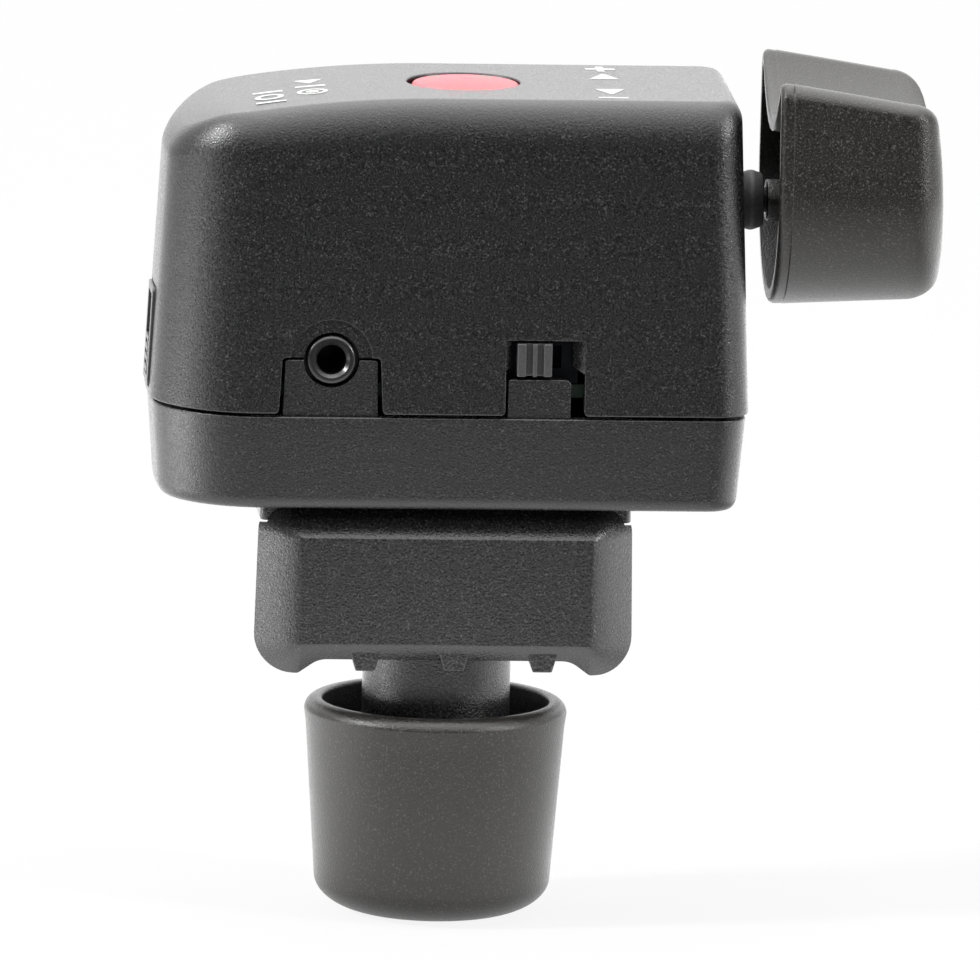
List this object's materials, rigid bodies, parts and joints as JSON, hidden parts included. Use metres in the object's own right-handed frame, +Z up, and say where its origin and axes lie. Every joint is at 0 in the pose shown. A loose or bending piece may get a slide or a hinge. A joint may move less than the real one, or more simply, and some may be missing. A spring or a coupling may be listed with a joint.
{
  "type": "camcorder zoom remote",
  "caption": "Camera zoom controller: boxy two-part housing with thumb rocker, record button, cable jack and slide switches, on a screw clamp with a cup-shaped knob.",
  "frame": {"origin": "centre of the clamp knob's flat foot, on the clamp screw's axis", "axes": "+Z up along the clamp screw; +X along the housing towards the thumb rocker; -Y is the front face with the jack and the selector switch"},
  "size_m": [0.0956, 0.0345, 0.1038],
  "materials": {
    "housing_plastic": "black ABS with a fine spark-eroded grain",
    "clamp_plastic": "black glass-filled nylon, finely textured",
    "handled_plastic": "black moulded plastic with a satin sheen",
    "button_plastic": "red moulded plastic",
    "switch_plastic": "black moulded acetal",
    "jack_plastic": "black moulded nylon",
    "grey_plastic": "grey acetal",
    "black_rubber": "matte black rubber",
    "circuit_board": "green solder mask",
    "steel": "zinc-plated steel",
    "brass": "turned brass"
  },
  "bodies": {
    "root": {"upper_shell": "housing_plastic", "lower_shell": "housing_plastic", "case_screw_1": "steel", "case_screw_2": "steel", "case_screw_3": "steel", "case_screw_4": "steel", "circuit_board": "circuit_board", "button_board": "circuit_board", "board_screw_1": "steel", "board_screw_2": "steel", "tact_switch": "grey_plastic", "cable_jack": "jack_plastic", "selector_switch": "steel", "power_plate": "switch_plastic", "power_switch": "steel", "potentiometer": "steel", "pot_bracket": "steel", "pot_nut": "brass", "centring_spring": "steel", "shaft_bush": "black_rubber", "bush_clip": "steel", "jaw_plate": "clamp_plastic", "jaw_screw_1": "steel", "jaw_screw_2": "steel", "jaw_fixing_1": "steel", "jaw_fixing_2": "steel", "jaw_pad": "black_rubber", "clamp_body": "clamp_plastic", "threaded_insert": "brass"},
    "record_button": {"rec_button": "button_plastic"},
    "rocker": {"zoom_rocker": "handled_plastic", "rocker_shaft": "steel"},
    "selector": {"selector_slider": "switch_plastic"},
    "power": {"power_slider": "switch_plastic"},
    "pad": {"pressure_pad": "grey_plastic", "pressure_pad_face": "black_rubber"},
    "knob": {"clamp_knob": "handled_plastic", "clamp_screw": "steel"}
  },
  "joints": [
    {"name": "record_press", "type": "slide", "parent": "root", "child": "record_button", "axis": [0, 0, -1], "range_m": [0, 0.0006], "stiffness_N_per_m": 1500},
    {"name": "zoom_rock", "type": "hinge", "parent": "root", "child": "rocker", "pos_m": [0.0389, 0, 0.0874], "axis": [1, 0, 0], "range_deg": [-18, 18], "stiffness_Nm_per_rad": 0.06},
    {"name": "selector_slide", "type": "slide", "parent": "root", "child": "selector", "axis": [1, 0, 0], "range_m": [0, 0.002]},
    {"name": "power_slide", "type": "slide", "parent": "root", "child": "power", "axis": [0.0419, 0, 0.9991], "range_m": [0, 0.0048]},
    {"name": "screw_travel", "type": "slide", "parent": "root", "child": "pad", "axis": [0, 0, 1], "range_m": [0, 0.0055]},
    {"name": "knob_turn", "type": "hinge", "parent": "pad", "child": "knob", "pos_m": [0, 0, 0], "axis": [0, 0, 1], "range_deg": [0, 1980]}
  ],
  "couplings": [
    {"joint": "screw_travel", "follows": "knob_turn", "m_per_rad": 0.00015915}
  ]
}
